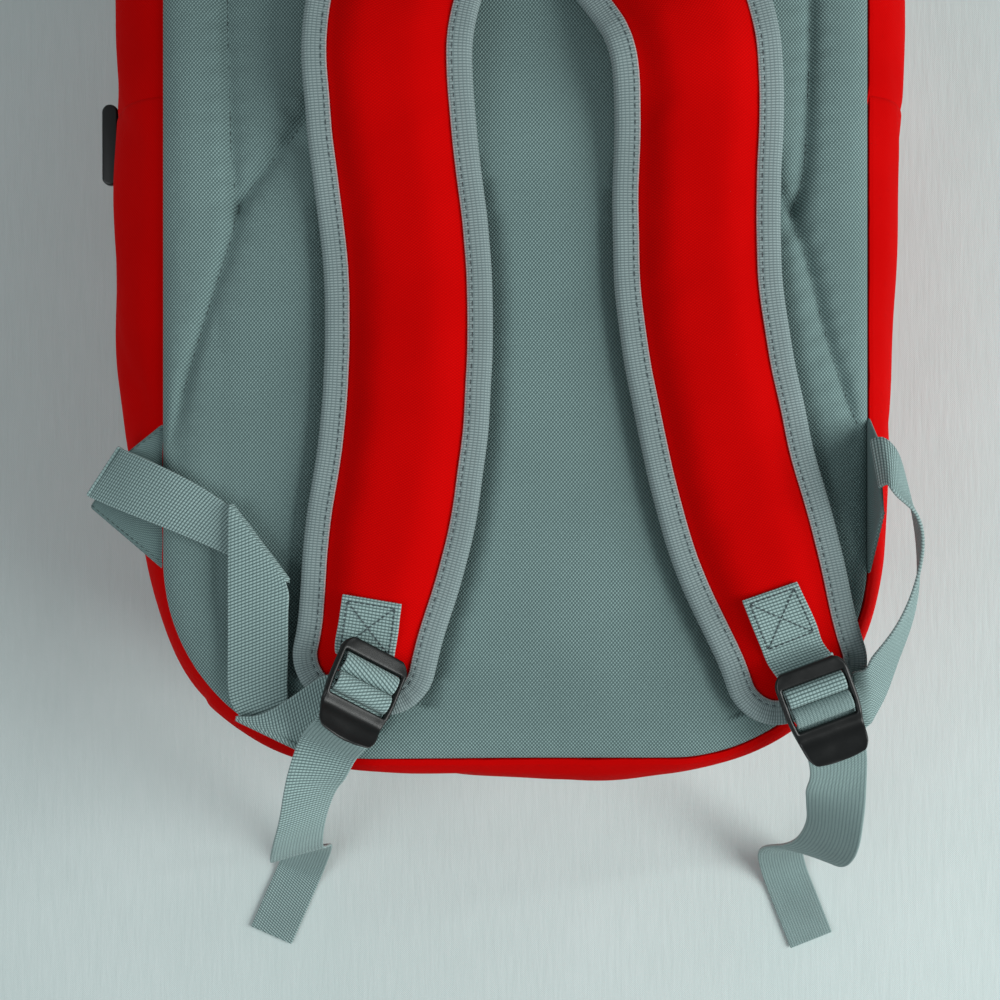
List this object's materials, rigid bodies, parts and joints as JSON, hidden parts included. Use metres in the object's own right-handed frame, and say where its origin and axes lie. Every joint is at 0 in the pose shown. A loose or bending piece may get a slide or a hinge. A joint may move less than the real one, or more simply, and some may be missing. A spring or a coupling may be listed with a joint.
{
  "type": "baseball bat backpack",
  "caption": "Backpack lying on its front, padded grey back panel up, with padded red shoulder straps, webbing adjusters, side bat sleeves and a zip round the top.",
  "frame": {"origin": "middle of the front panel's flat face, where the bag rests", "axes": "+X across the bag, +Y towards the bag's top, +Z out through the back panel"},
  "size_m": [0.3831, 0.5866, 0.237],
  "materials": {
    "red_cloth": "coarse plain weave",
    "grey_cloth": "coarse basket weave",
    "grey_webbing": "ribbed tape",
    "black_plastic": "moulded, satin",
    "zip_cloth": "woven tape"
  },
  "bodies": {
    "root": {"gusset_rear": "red_cloth", "gusset_front": "red_cloth", "gusset_lower": "red_cloth", "front_panel": "red_cloth", "back_panel": "grey_cloth", "zipper_tape": "zip_cloth", "zipper_coil": "zip_cloth", "zipper_slider": "black_plastic", "zipper_pull": "black_plastic", "bat_sleeve_left": "red_cloth", "bat_sleeve_right": "red_cloth", "strap_pad_left": "red_cloth", "strap_pad_right": "red_cloth", "strap_binding_left": "grey_webbing", "strap_binding_right": "grey_webbing", "strap_tab_left": "grey_webbing", "strap_tab_right": "grey_webbing", "adjuster_web_left": "grey_webbing", "adjuster_web_right": "grey_webbing", "buckle_left": "black_plastic", "buckle_right": "black_plastic", "anchor_wing_left": "grey_cloth", "anchor_wing_right": "grey_cloth", "yoke_tape": "grey_webbing", "grab_handle": "grey_webbing"}
  },
  "joints": []
}
